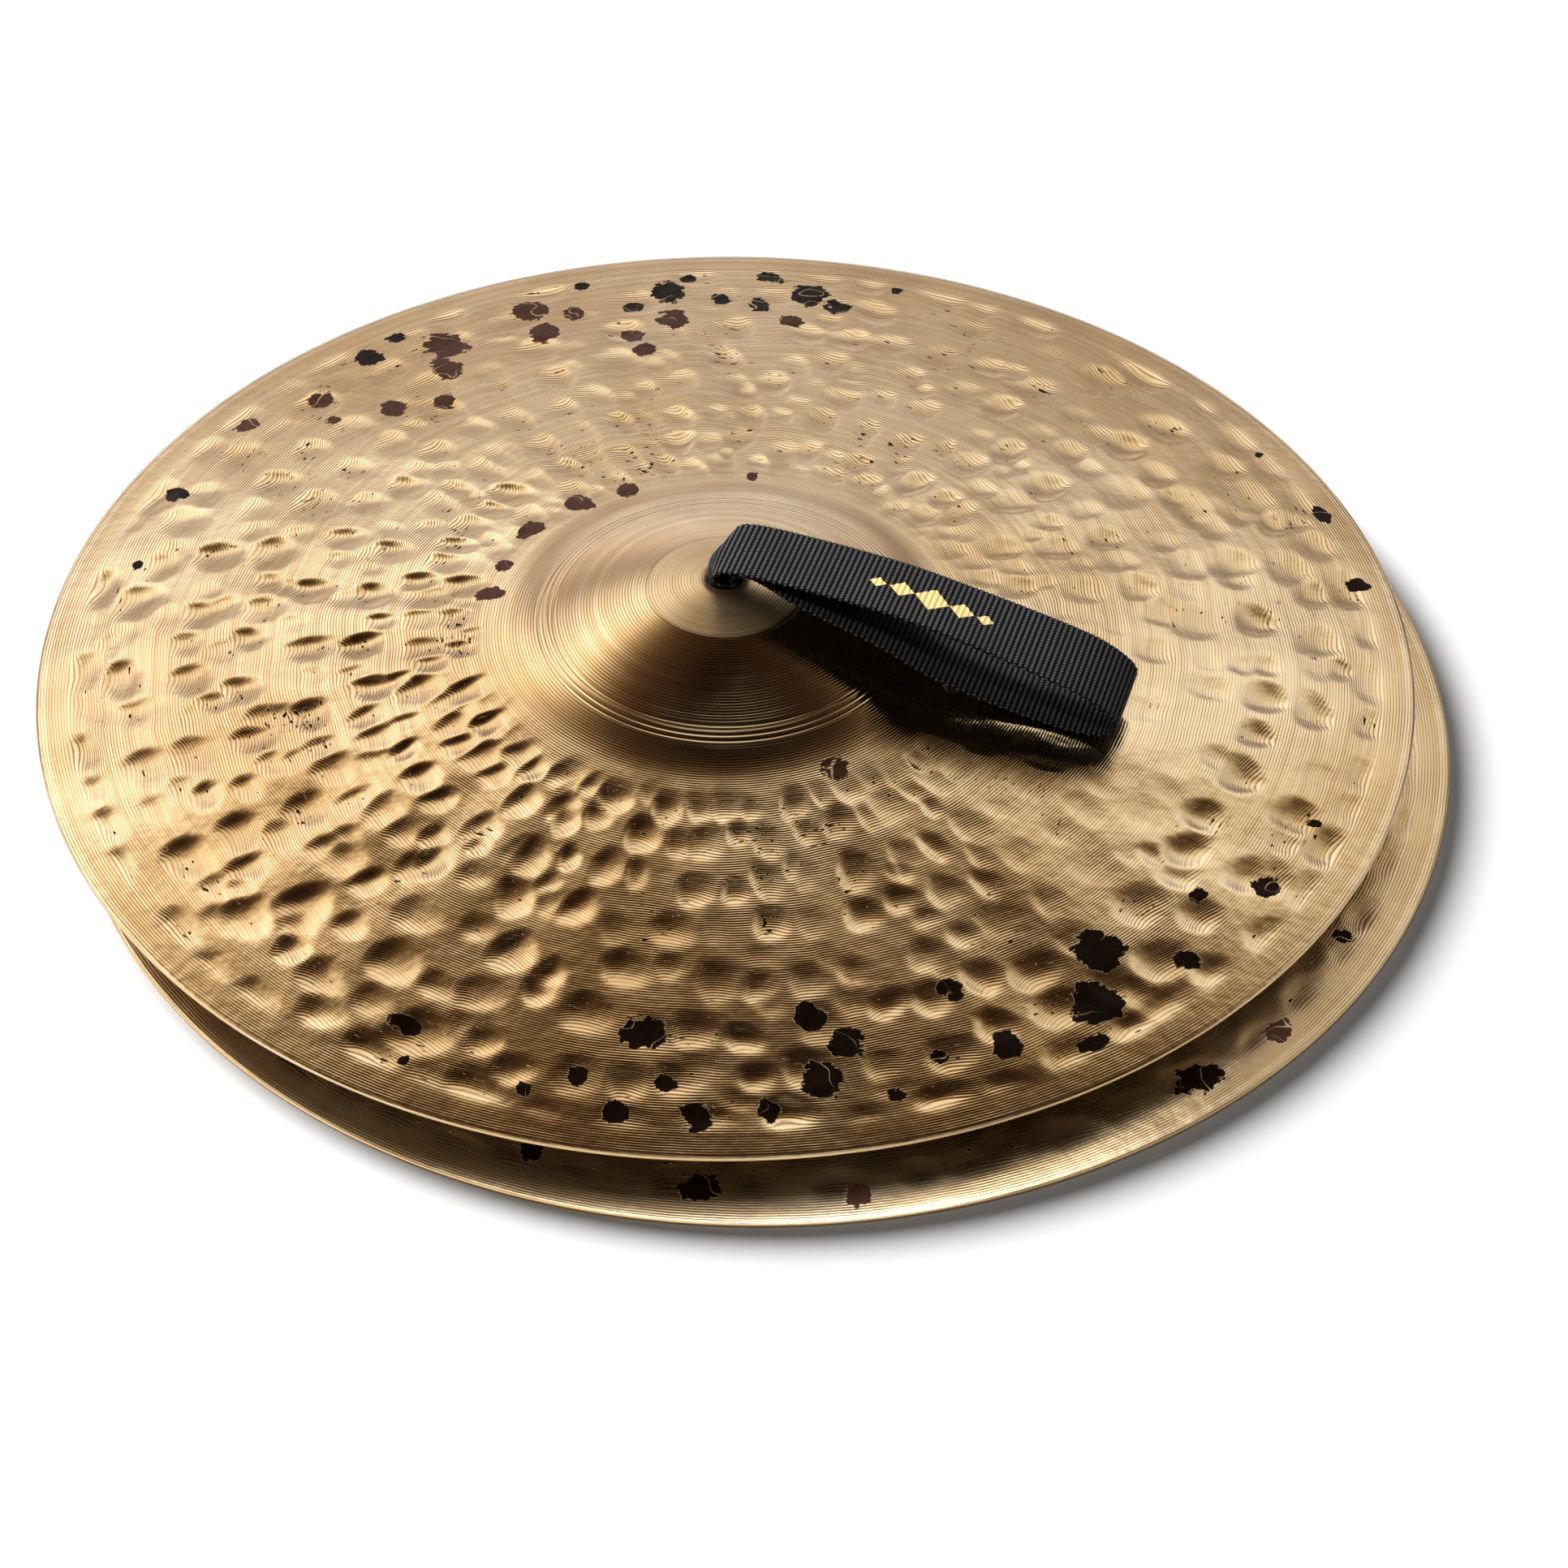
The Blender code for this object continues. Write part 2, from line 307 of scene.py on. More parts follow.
# Dark marks where the casting's scale was left on: (degrees, radius, size, stretch along the row, kind).
UPPER_MARKS = (
    (96, 203, 14, 1.0, "k"), (94, 213, 6, 1.0, "k"), (91, 198, 9, 1.0, "k"), (87, 195, 9, 1.0, "k"),
    (100, 196, 7, 1.2, "k"), (96, 185, 13, 0.9, "b"), (106, 197, 8, 1.0, "b"), (110, 205, 14, 1.0, "b"),
    (110, 188, 12, 1.0, "b"), (120, 198, 16, 1.0, "b"), (122, 185, 13, 1.0, "b"), (123, 213, 7, 1.2, "k"),
    (127, 208, 9, 1.2, "k"), (101, 177, 10, 0.9, "b"), (100, 166, 9, 1.0, "b"), (82, 203, 15, 0.9, "k"),
    (79, 197, 10, 1.1, "k"), (86, 214, 7, 1.8, "k"), (83, 184, 7, 1.6, "b"), (104, 215, 6, 1.0, "k"),
    (74, 214, 5, 1.0, "k"), (126, 167, 9, 1.0, "b"), (131, 175, 10, 1.0, "b"), (135, 200, 8, 1.4, "b"),
    (137, 187, 6, 1.0, "b"), (142, 210, 7, 1.3, "b"), (154, 209, 8, 1.0, "k"), (165, 206, 4, 1.4, "k"),
    (115, 80, 9, 1.0, "b"), (127, 82, 10, 1.0, "b"), (141, 84, 8, 1.6, "b"), (156, 81, 6, 1.2, "b"),
    (167, 81, 9, 1.0, "b"), (84, 80, 6, 0.8, "b"), (-63, 78, 10, 1.0, "b"), (-22, 80, 5, 1.0, "b"),
    (-98, 181, 14, 1.0, "k"), (-81, 175, 11, 1.0, "k"), (-78, 187, 12, 1.0, "k"), (-81, 200, 14, 1.0, "k"),
    (-86, 210, 9, 1.0, "k"), (-92, 212, 11, 1.0, "k"), (-99, 213, 8, 1.3, "k"), (-95, 200, 7, 1.2, "k"),
    (-103, 201, 7, 1.2, "k"), (-107, 210, 6, 1.0, "k"), (-120, 199, 7, 1.8, "k"), (-118, 212, 4, 1.0, "k"),
    (-66, 176, 9, 1.0, "k"), (-64, 202, 12, 1.0, "k"), (-70, 199, 5, 1.0, "k"), (-75, 210, 6, 1.2, "k"),
    (-50, 185, 18, 1.0, "k"), (-54, 200, 16, 1.2, "k"), (-57, 213, 6, 1.9, "k"), (-44, 204, 8, 1.2, "k"),
    (-37, 190, 5, 1.8, "k"), (-32, 205, 10, 1.0, "k"), (-22, 206, 5, 1.0, "k"), (12, 217, 8, 1.0, "k"),
    (22, 218, 6, 1.6, "k"), (32, 215, 3, 1.0, "k"),
)
LOWER_MARKS = (
    (-95, 215, 9, 1.6, "k"), (-82, 219, 8, 1.2, "b"), (-50, 215, 11, 1.5, "k"), (-41, 218, 8, 1.3, "b"),
    (-28, 213, 7, 1.0, "k"), (-110, 210, 9, 1.0, "k"), (-65, 190, 12, 1.0, "k"), (15, 200, 10, 1.0, "k"),
    (60, 205, 14, 1.0, "k"), (66, 195, 11, 1.0, "b"), (72, 209, 8, 1.2, "k"), (95, 182, 12, 1.0, "b"),
    (130, 206, 9, 1.1, "k"), (137, 194, 13, 1.0, "k"), (160, 212, 7, 1.4, "k"), (188, 199, 10, 1.0, "b"),
    (197, 208, 12, 1.0, "k"), (205, 190, 7, 1.2, "k"), (222, 214, 6, 1.6, "k"), (20, 82, 9, 1.0, "b"),
    (75, 80, 8, 1.0, "b"), (150, 84, 10, 1.2, "b"), (215, 81, 7, 1.0, "b"), (-70, 83, 9, 1.0, "b"),
)


# ---------------------------------------------------------------- webbing


def path_through(points, step):
    """Evenly spaced points, and their arc lengths, on a smooth curve through the given (u, z) points."""
    p = np.array(points) * MM
    ends = np.concatenate([[2 * p[0] - p[1]], p, [2 * p[-1] - p[-2]]])
    fine = []
    for i in range(1, len(ends) - 2):
        a, b, c, d = ends[i - 1], ends[i], ends[i + 1], ends[i + 2]
        square, cube = 2 * a - 5 * b + 4 * c - d, 3 * b - a - 3 * c + d
        for t in np.linspace(0, 1, 24, endpoint=False):
            fine.append(0.5 * (2 * b + (c - a) * t + square * t**2 + cube * t**3))
    fine = np.array(fine + [p[-1]])
    far = np.concatenate([[0], np.cumsum(np.linalg.norm(np.diff(fine, axis=0), axis=1))])
    count = round(far[-1] / step)
    at = np.linspace(0, far[-1], count + 1)
    return np.stack([np.interp(at, far, fine[:, k]) for k in range(2)], axis=1), at


def rib_relief(s):
    """0 in the valley between two ribs and 1 on top of one."""
    f = (s / RIB) % 1.0
    return np.sqrt(np.clip(1 - (2 * f - 1) ** 2, 0, 1))


def bead_relief(across, s):
    """How high a thread stands along a rib: its beads are offset by half from one rib to the next."""
    beads = (across + 1) / 2 * BEADS + 0.5 * (np.floor(s / RIB + 0.02) % 2)
    return 0.45 + 0.55 * np.abs(np.sin(math.pi * beads))


def section_outline(steps):
    """The webbing's outline: (place across, side) with side from -1, the inner face, to 1, the outer."""
    across = np.linspace(-1, 1, steps + 1)
    top = [(v, 1.0) for v in across]
    bottom = [(v, -1.0) for v in across[::-1]]
    right = [(1.035, 0.55), (1.05, 0.0), (1.035, -0.55)]
    left = [(-1.035, -0.55), (-1.05, 0.0), (-1.035, 0.55)]
    return np.array(top + right + bottom + left)


def ribbon(name, points, width, thickness, curl, curl_side, squeeze, beaded=False):
    """Webbing along a path: curl is the angle that its width is rolled through at each arc length,
    curl_side is 1 or -1 for the way it rolls, and squeeze is how far its width is pressed together."""
    path, s = path_through(points, RIB / (BEADED_RIB_STEPS if beaded else RIB_STEPS))
    along = np.gradient(path, axis=0)
    along /= np.linalg.norm(along, axis=1)[:, None]
    normal = np.stack([-along[:, 1], along[:, 0]], axis=1)
    outline = section_outline(3 * BEADS if beaded else 14)
    relief = rib_relief(s)
    angle, side, narrow = curl(path, s), curl_side(path, s), squeeze(path, s)
    half = width(s) / 2
    v = outline[None, :, 0] * (half - 0.5 * MM + 0.5 * MM * relief)[:, None]
    thread = bead_relief(outline[None, :, 0], s[:, None]) if beaded else 1.0
    alpha = np.maximum(angle, 1e-4)[:, None] * v / (2 * half)[:, None]
    radius = (2 * half * narrow / np.maximum(angle, 1e-4))[:, None]
    lift = outline[None, :, 1] * (thickness / 2) * (0.46 + 0.54 * relief[:, None] * thread)
    sag = side[:, None] * radius * (1 - np.cos(alpha)) + lift * np.cos(alpha)
    lateral = radius * np.sin(alpha) - side[:, None] * lift * np.sin(alpha)
    u = path[:, 0, None] + normal[:, 0, None] * sag
    z = path[:, 1, None] + normal[:, 1, None] * sag
    grid = np.stack([u, lateral, z], axis=-1)
    mesh = grid_mesh(name, grid)
    rows, cols = grid.shape[:2]
    first = list(range(cols))[::-1]
    last = list(range((rows - 1) * cols, rows * cols))
    add_caps(mesh, (first, last))
    weave = np.zeros((rows, cols, 3))
    weave[..., 0] = s[:, None] / RIB
    weave[..., 1] = (outline[None, :, 0] + 1) * BEADS / 2
    weave[..., 2] = outline[None, :, 1]
    layer = mesh.attributes.new("weave", "FLOAT_VECTOR", "POINT")
    layer.data.foreach_set("vector", weave.astype(np.float32).ravel())
    return mesh, s


def add_caps(mesh, polygons):
    """Closes a tube's two ends with one polygon each."""
    points = [v.co.copy() for v in mesh.vertices]
    faces = [tuple(p.vertices) for p in mesh.polygons] + [tuple(c) for c in polygons]
    mesh.clear_geometry()
    mesh.from_pydata(points, [], faces)
    mesh.update()


def constant(value):
    """The same value all along a ribbon."""
    return lambda *columns: np.full(len(columns[-1]), float(value))


def gathered(most, flat_from, full_to):
    """A curl that is full where the path is lower than full_to near the hole, and gone past flat_from."""
    def curl(path, s):
        u = path[:, 0] + 2.0 * np.minimum(path[:, 1] - flat_from[1], 0)
        return most * (1 - smooth(full_to, flat_from[0], u)) * (path[:, 0] < 40 * MM)
    return curl


def halves(first, second):
    """One value on the way out and another on the way back."""
    def side(path, s):
        turning = int(np.argmax(path[:, 0]))
        return np.where(np.arange(len(s)) < turning, first, second).astype(float)
    return side


def pressed(first, second, full_to, wide_from):
    """How far the width is pressed together near the hole, on the way out and on the way back."""
    share = halves(first, second)
    def squeeze(path, s):
        open_again = smooth(full_to, wide_from, path[:, 0])
        return share(path, s) * (1 - open_again) + open_again
    return squeeze


# How far the webbing is rolled up at the hole, and how far the outer half of the upper loop is turned.
UPPER_ROLL = math.radians(285)
LOWER_ROLL = math.radians(110)
TWIST = math.radians(7.0)

# Where each strap's bend at the hole starts and ends, and the upper strap's path, as (u, z) in millimetres.
UPPER_ROUTE = (
    (-4.7, 36), (-4.8, 42.5), (-5.0, 47.5), (-3.8, 51.9), (-0.6, 55.0), (4.0, 56.8), (10, 57.4),
    (20, 57.0), (31, 56.2), (42, 55.2), (60, 53.0), (81, 48.7), (102, 43.7), (115, 40.2),
    (125.5, 36.4), (133.2, 31.2),
    (136.4, 26.6), (135.4, 22.6), (131, 19.9), (124, 19.0), (112, 20.3), (96, 23.6), (85, 26.5),
    (74, 30.0), (61, 36.4), (53, 40.0), (44, 43.3), (36, 46.2), (28, 49.2), (20, 51.7), (12.5, 53.2),
    (6.6, 52.8), (2.7, 50.8), (-0.8, 47.4), (-3.0, 42.5), (-3.0, 36),
)


def lower_route():
    """The lower strap's path: out of the hole, down the cymbal, and back under itself."""
    out = [(3.3, 36), (3.4, 41.5), (5.0, 45.2), (10.0, 46.3)]
    back = [(10.0, 44.3), (6.6, 43.6), (5.1, 41.0), (5.0, 36)]
    reach = np.linspace(20, 142, 14)
    high = [(u, plate_top(u * MM) / MM + 3.5) for u in reach]
    low = [(u, plate_top(u * MM) / MM + 1.6) for u in reach[::-1]]
    middle = plate_top(143.4 * MM) / MM + 2.55
    return out + high + [(143.3, middle)] + low + back


def place_strap(piece, node, heading, z):
    """Turns a strap made along +X to its heading, over the hole of its own cymbal."""
    low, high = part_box(node)
    piece.location = ((low.x + high.x) / 2, (low.y + high.y) / 2, z)
    piece.rotation_euler = (0, 0, heading)
    bpy.context.view_layer.update()


# ---------------------------------------------------------------- materials


class Tree:
    """Short names for making and joining shader nodes."""

    def __init__(self, owner):
        owner.use_nodes = True
        self.owner = owner
        self.nodes = owner.node_tree.nodes
        self.links = owner.node_tree.links
        self.shader = self.nodes.get("Principled BSDF")

    def put(self, socket, value):
        """Links another node's output, or sets a plain value."""
        if isinstance(value, bpy.types.NodeSocket):
            self.links.new(value, socket)
        else:
            socket.default_value = value

    def node(self, kind, out=0, inputs=None, **settings):
        made = self.nodes.new("ShaderNode" + kind)
        for key, value in settings.items():
            setattr(made, key, value)
        for key, value in (inputs or {}).items():
            self.put(made.inputs[key], value)
        return made.outputs[out]

    def math(self, operation, *values, clamp=False):
        made = self.nodes.new("ShaderNodeMath")
        made.operation = operation
        made.use_clamp = clamp
        for i, value in enumerate(values):
            self.put(made.inputs[i], value)
        return made.outputs[0]

    def attribute(self, name, out="Fac"):
        return self.node("Attribute", out, attribute_name=name)

    def noise(self, vector, scale, detail=2.0, roughness=0.5, dimensions="3D"):
        key = "W" if dimensions == "1D" else "Vector"
        inputs = {key: vector, "Scale": scale, "Detail": detail, "Roughness": roughness}
        return self.node("TexNoise", "Fac", inputs, noise_dimensions=dimensions)

    def ramp(self, value, low, high, to_low=0.0, to_high=1.0):
        """Smooth step from to_low to to_high as value goes from low to high."""
        inputs = {0: value, 1: low, 2: high, 3: to_low, 4: to_high}
        made = self.nodes.new("ShaderNodeMapRange")
        made.interpolation_type = "SMOOTHSTEP"
        for key, item in inputs.items():
            self.put(made.inputs[key], item)
        return made.outputs[0]

    def mix(self, factor, a, b, blend_type="MIX"):
        made = self.nodes.new("ShaderNodeMix")
        made.data_type = "RGBA"
        made.blend_type = blend_type
        self.put(made.inputs[0], factor)
        self.put(made.inputs[6], a)
        self.put(made.inputs[7], b)
        return made.outputs[2]

    def bump(self, height, distance, normal=None, strength=1.0):
        inputs = {"Height": height, "Distance": distance, "Strength": strength}
        if normal is not None:
            inputs["Normal"] = normal
        return self.node("Bump", "Normal", inputs)

    def set(self, **values):
        """Sets or links the shader's own sockets by name."""
        for key, value in values.items():
            self.put(self.shader.inputs[key.replace("_", " ")], value)


def rgb(r, g, b):
    return (r, g, b, 1.0)


def bronze(name, polish):
    """Cast bronze, lathed in fine rings, with dark scale left in patches and painted shade in its cuts and
    dents.
    """
    t = Tree(bpy.data.materials.new(name))
    where = t.node("TexCoord", "Object")
    flat = t.node("VectorMath", 0, {0: where, 1: (1, 1, 0)}, operation="MULTIPLY")
    radius = t.node("VectorMath", "Value", {0: flat}, operation="LENGTH")
    r_mm = t.math("MULTIPLY", radius, 1000.0)
    parts = t.node("SeparateXYZ", "X", {0: where}).node
    angle = t.math("ARCTAN2", parts.outputs["Y"], parts.outputs["X"])
    sunk = t.attribute("sunk")
    bow = t.ramp(r_mm, 70.0, 84.0)

    # Rings that the lathe cut: they bend where a dent lies under them.
    wander = t.noise(where, 45.0, 3.0)
    wander = t.math("MULTIPLY", t.math("SUBTRACT", wander, 0.5), 0.9)
    bent = t.math("MULTIPLY_ADD", sunk, 3.0, r_mm)
    bent = t.math("ADD", bent, t.math("MULTIPLY", wander, bow))
    phase = t.math("MULTIPLY", bent, TURN / RING_MM)
    ring = t.math("SINE", phase)
    broad = t.noise(bent, 0.32, 3.0, 0.6, "1D")
    fine = t.noise(bent, 2.3, 2.0, 0.7, "1D")
    fade = t.noise(where, 28.0, 2.0)
    ring = t.math("MULTIPLY", ring, t.ramp(fade, 0.32, 0.68, 0.45, 1.0))
    cut = t.math("ADD", t.math("MULTIPLY", ring, 0.6), t.math("MULTIPLY", fine, 0.5))

    # A band of deeper cuts low on the bell, and a fine line round the crown.
    low_bell = t.math("MULTIPLY", t.ramp(r_mm, 55.0, 57.0), t.ramp(r_mm, 62.0, 64.5, 1.0, 0.0))
    deep = t.math("MULTIPLY", low_bell, t.math("SINE", t.math("MULTIPLY", r_mm, TURN / LOW_BELL_RING_MM)))
    crown = t.math("COMPARE", r_mm, CROWN[0] / MM, 0.45)

    # Dark patches, ragged along the lathe's cuts.
    turned = t.math("MULTIPLY", angle, 26.0)
    streak_at = t.node("CombineXYZ", 0, {0: t.math("MULTIPLY", r_mm, 0.9), 1: turned, 2: 0.0})
    streak = t.noise(streak_at, 1.0, 3.0, 0.6)
    ragged = t.noise(where, 420.0, 4.0, 0.65)
    lumpy = t.noise(where, 130.0, 2.0, 0.5)
    uneven = t.math("ADD", t.math("MULTIPLY", streak, 0.5), t.math("MULTIPLY", ragged, 0.9))
    uneven = t.math("SUBTRACT", t.math("MULTIPLY_ADD", lumpy, 1.5, uneven), 1.41)
    black = t.ramp(t.math("ADD", t.attribute("black"), uneven), 0.0, 0.05)
    brown = t.ramp(t.math("ADD", t.attribute("brown"), uneven), 0.0, 0.07)
    spots = t.noise(where, 420.0, 2.0, 0.5)
    cluster = t.noise(where, 30.0, 2.0)
    speck_turn = t.math("MULTIPLY", angle, 60.0)
    speck_at = t.node("CombineXYZ", 0, {0: t.math("MULTIPLY", r_mm, 1.6), 1: speck_turn, 2: 4.0})
    speck = t.math("ADD", t.noise(speck_at, 0.55, 1.0), t.math("MULTIPLY", spots, 0.5))
    speck = t.math("ADD", speck, t.math("MULTIPLY", cluster, 0.45))
    specks = t.math("MULTIPLY", t.ramp(speck, 1.20, 1.24), t.ramp(sunk, 0.12, 0.35))
    patch = t.math("MAXIMUM", t.math("MAXIMUM", black, brown), specks)
    top_only = t.math("SUBTRACT", 1.0, t.attribute("under"))
    scratch = t.math("ABSOLUTE", t.math("SUBTRACT", t.noise(where, 80.0, 1.0), 0.5))
    scratch = t.math("MULTIPLY", t.ramp(scratch, 0.003, 0.009, 1.0, 0.0), t.ramp(cluster, 0.45, 0.55))
    patch = t.math("MULTIPLY", patch, t.math("MULTIPLY_ADD", scratch, -0.85, 1.0))
    patch = t.math("MULTIPLY", patch, top_only, clamp=True)

    # Colour: pale where it was lathed last and browner in broad bands, with painted shade in the valleys of
    # the lathe cuts and in the dents.
    hue = t.math("ADD", t.math("MULTIPLY", broad, 0.45), t.math("MULTIPLY", t.noise(where, 9.0, 3.0), 0.75))
    metal = t.mix(t.ramp(hue, 0.42, 0.78), rgb(0.70, 0.51, 0.28), rgb(0.89, 0.74, 0.50))
    # Painted shade: the valleys of the lathe cuts are turned dark brown.
    line = t.ramp(cut, -0.40, 0.30)
    metal = t.mix(t.math("MULTIPLY", t.math("SUBTRACT", 1.0, line), 0.88), metal, rgb(0.20, 0.10, 0.035))
    # Painted shade: the metal is made browner in the dents.
    metal = t.mix(t.math("MULTIPLY", t.ramp(sunk, 0.1, 0.9), 0.34), metal, rgb(0.40, 0.25, 0.10))
    metal = t.mix(t.math("MULTIPLY", crown, 0.25), metal, rgb(0.22, 0.13, 0.06))
    scale = t.mix(ragged, rgb(0.002, 0.0012, 0.0007), rgb(0.024, 0.012, 0.006))
    rust = t.mix(ragged, rgb(0.035, 0.014, 0.010), rgb(0.16, 0.075, 0.05))
    dark = t.mix(t.math("MULTIPLY", brown, t.math("SUBTRACT", 1.0, black)), scale, rust)
    colour = t.mix(patch, metal, dark)

    rough = t.math("MULTIPLY_ADD", t.noise(where, 60.0, 3.0), 0.07, polish - 0.01)
    rough = t.math("ADD", rough, t.ramp(r_mm, 24.5, 26.5, 0.25, 0.0))
    rough = t.math("MULTIPLY_ADD", patch, 0.3, rough)
    height = t.math("ADD", cut, t.math("MULTIPLY", deep, 1.3))
    height = t.math("SUBTRACT", height, t.math("MULTIPLY", crown, 0.5))
    uneven_cast = t.math("MULTIPLY", t.noise(where, 150.0, 2.0), bow)
    height = t.math("MULTIPLY_ADD", uneven_cast, 5.0, height)
    normal = t.bump(height, CUT_DEPTH)
    crust = t.math("MULTIPLY", t.noise(where, 900.0, 4.0, 0.7), patch)
    normal = t.bump(crust, CRUST_DEPTH, normal)
    tangent = t.node("Tangent", 0, direction_type="RADIAL", axis="Z")
    t.set(Base_Color=colour, Metallic=1.0, Roughness=rough, Normal=normal, Tangent=tangent)
    t.set(Anisotropic=0.55, Anisotropic_Rotation=0.25)
    return t.owner


def webbing(name, printed=False):
    """Black ribbed nylon webbing, with beads of thread along each rib, painted highlights on the beads' tops
    and painted shade between them.
    """
    t = Tree(bpy.data.materials.new(name))
    weave = t.node("SeparateXYZ", "X", {0: t.attribute("weave", "Vector")}).node
    s, v, face = (weave.outputs[k] for k in "XYZ")
    ribs = t.math("ABSOLUTE", t.math("SINE", t.math("MULTIPLY", s, math.pi)))
    odd = t.math("MULTIPLY", t.math("MODULO", t.math("FLOOR", t.math("ADD", s, 0.02)), 2.0), 0.5)
    beads = t.math("ABSOLUTE", t.math("SINE", t.math("MULTIPLY", t.math("ADD", v, odd), math.pi)))
    where = t.node("TexCoord", "Object")
    fuzz = t.noise(where, 2600.0, 2.0, 0.6)
    worn = t.noise(where, 55.0, 3.0)
    bead = t.math("MULTIPLY", t.math("POWER", beads, 0.6), t.ramp(ribs, 0.35, 0.92))
    height = t.math("ADD", bead, t.math("MULTIPLY", fuzz, 0.25))
    normal = t.bump(height, (0.20 if printed else 0.17) * MM)
    # Painted highlight on the tops of the beads and painted shade in the valleys between them, varied by
    # wear.
    painted_bead_light_and_wear = t.math("MULTIPLY", t.math("POWER", bead, 2.8), t.math("MULTIPLY_ADD", worn, 0.8, 0.6))
    colour = t.mix(painted_bead_light_and_wear, rgb(0.0002, 0.0002, 0.0002), rgb(0.060, 0.0595, 0.060))
    if printed:
        colour = t.mix(motif(t, s, v, face, bead), colour, rgb(0.58, 0.42, 0.17))
    rough = t.math("MULTIPLY_ADD", bead, -0.45, t.math("MULTIPLY_ADD", worn, 0.14, 0.70))
    t.set(Base_Color=colour, Roughness=rough, Normal=normal, Sheen_Weight=0.03, Sheen_Roughness=0.4)
    t.set(Specular_IOR_Level=0.05)
    return t.owner


MOTIF_AT = 92.5 * MM  # arc length of the printed ornament's middle
MOTIF = ((0.0, 6.2, 5.4), (-10.4, 4.4, 3.6), (10.4, 4.4, 3.6), (-18.6, 3.0, 2.4), (18.6, 3.0, 2.4))


def motif(t, s, v, face, bead):
    """A row of five plain lozenges, as (offset, half length, half width) in millimetres."""
    along = t.math("SUBTRACT", t.math("MULTIPLY", s, RIB / MM), MOTIF_AT / MM)
    across = t.math("SUBTRACT", v, BEADS / 2)
    across = t.math("ABSOLUTE", t.math("MULTIPLY", across, WEB_W / BEADS / MM))
    nearest = None
    for offset, half_length, half_width in MOTIF:
        distance = t.math("DIVIDE", t.math("ABSOLUTE", t.math("SUBTRACT", along, offset)), half_length)
        distance = t.math("ADD", distance, t.math("DIVIDE", across, half_width))
        nearest = distance if nearest is None else t.math("MINIMUM", nearest, distance)
    ink = t.ramp(nearest, 0.9, 1.02, 1.0, 0.0)
    ink = t.math("MULTIPLY", ink, t.ramp(face, 0.5, 0.9))
    return t.math("MULTIPLY", ink, t.ramp(bead, 0.05, 0.5, 0.5, 1.0))


def leather(name):
    """Brown leather with a fine grain."""
    t = Tree(bpy.data.materials.new(name))
    where = t.node("TexCoord", "Object")
    grain = t.node("TexVoronoi", "Distance", {"Vector": where, "Scale": 900.0}, feature="DISTANCE_TO_EDGE")
    cloudy = t.noise(where, 120.0, 4.0)
    colour = t.mix(cloudy, rgb(0.10, 0.045, 0.02), rgb(0.22, 0.105, 0.05))
    normal = t.bump(t.ramp(grain, 0.0, 0.12), 0.08 * MM)
    t.set(Base_Color=colour, Roughness=t.math("MULTIPLY_ADD", cloudy, 0.25, 0.45), Normal=normal)
    return t.owner


def floor_material():
    """A plain pale floor."""
    t = Tree(bpy.data.materials.new("floor_white"))
    grain = t.noise(t.node("TexCoord", "Object"), 3.0, 2.0)
    t.set(Base_Color=t.mix(grain, rgb(0.74, 0.74, 0.74), rgb(0.76, 0.76, 0.76)), Roughness=0.9)
    return t.owner


# ---------------------------------------------------------------- knot, pad, tails


def make_pad(name, node, body, material):
    """A leather washer with rounded edges and a slight threefold wave."""
    low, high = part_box(node)
    inner, outer, thick = HOLE_R + 0.3 * MM, PAD_R, PAD_T
    soft = 0.9 * MM
    outline = []
    for centre, start in (((outer - soft, thick - soft), 90), ((outer - soft, soft), 0)):
        for i in range(7):
            a = math.radians(start - 15 * i)
            outline.append((centre[0] + soft * math.cos(a), centre[1] + soft * math.sin(a)))
    for centre, start in (((inner + soft, soft), 270), ((inner + soft, thick - soft), 180)):
        for i in range(7):
            a = math.radians(start - 15 * i)
            outline.append((centre[0] + soft * math.cos(a), centre[1] + soft * math.sin(a)))
    angles = np.linspace(0, TURN, 96, endpoint=False)
    r = np.array([p[0] for p in outline])[:, None]
    z = np.array([p[1] for p in outline])[:, None]
    wave = 0.12 * MM * np.sin(3 * angles + 1.0)[None, :] * (r / outer)
    grid = np.stack([r * np.cos(angles), r * np.sin(angles), z + wave * 0.5 + 0 * angles], axis=-1)
    mesh = grid_mesh(name, grid, closed_rows=True)
    mesh.flip_normals()
    piece = add_piece(name, mesh, material)
    piece.location = ((low.x + high.x) / 2, (low.y + high.y) / 2, low.z)
    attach(piece, body)
    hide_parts(node)
    return piece


def knot_band(name, lateral, phase):
    """One turn of webbing in the knot: an oval ring, over one neighbour and under the next."""
    route = []
    for i in range(KNOT_STEPS + 1):
        a = TURN * i / KNOT_STEPS
        x = KNOT_HALF_MM * math.cos(a)
        over = 0.85 * math.sin(math.pi * x / 11.0) * phase
        up = math.copysign(1, math.sin(a))
        z = (3.2 + over * up * 0.9) * math.copysign(abs(math.sin(a)) ** 0.7, math.sin(a))
        route.append((x, z))
    roll, side, squeeze = constant(0.5), constant(-1.0), constant(1.0)
    mesh, _ = ribbon(name, route, constant(KNOT_BAND_W), KNOT_BAND_T, roll, side, squeeze)
    for vert in mesh.vertices:
        vert.co.y += lateral * MM
    return mesh


def make_knot(prefix, place, heading, body, material):
    """The knot: two pairs of bands that cross."""
    low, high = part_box(f"{prefix}_knot")
    middle = (low.z + high.z) / 2
    bands = []
    for i, (turn, lateral, phase) in enumerate(KNOT_TURNS):
        name = f"{prefix}_knot_turn_{i + 1}"
        band = add_piece(name, knot_band(name, lateral, phase), material)
        band.location = (place[0], place[1], middle)
        band.rotation_euler = (0, 0, heading + math.radians(turn))
        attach(band, body)
        bands.append(band)
    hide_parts(f"{prefix}_knot")
    return bands


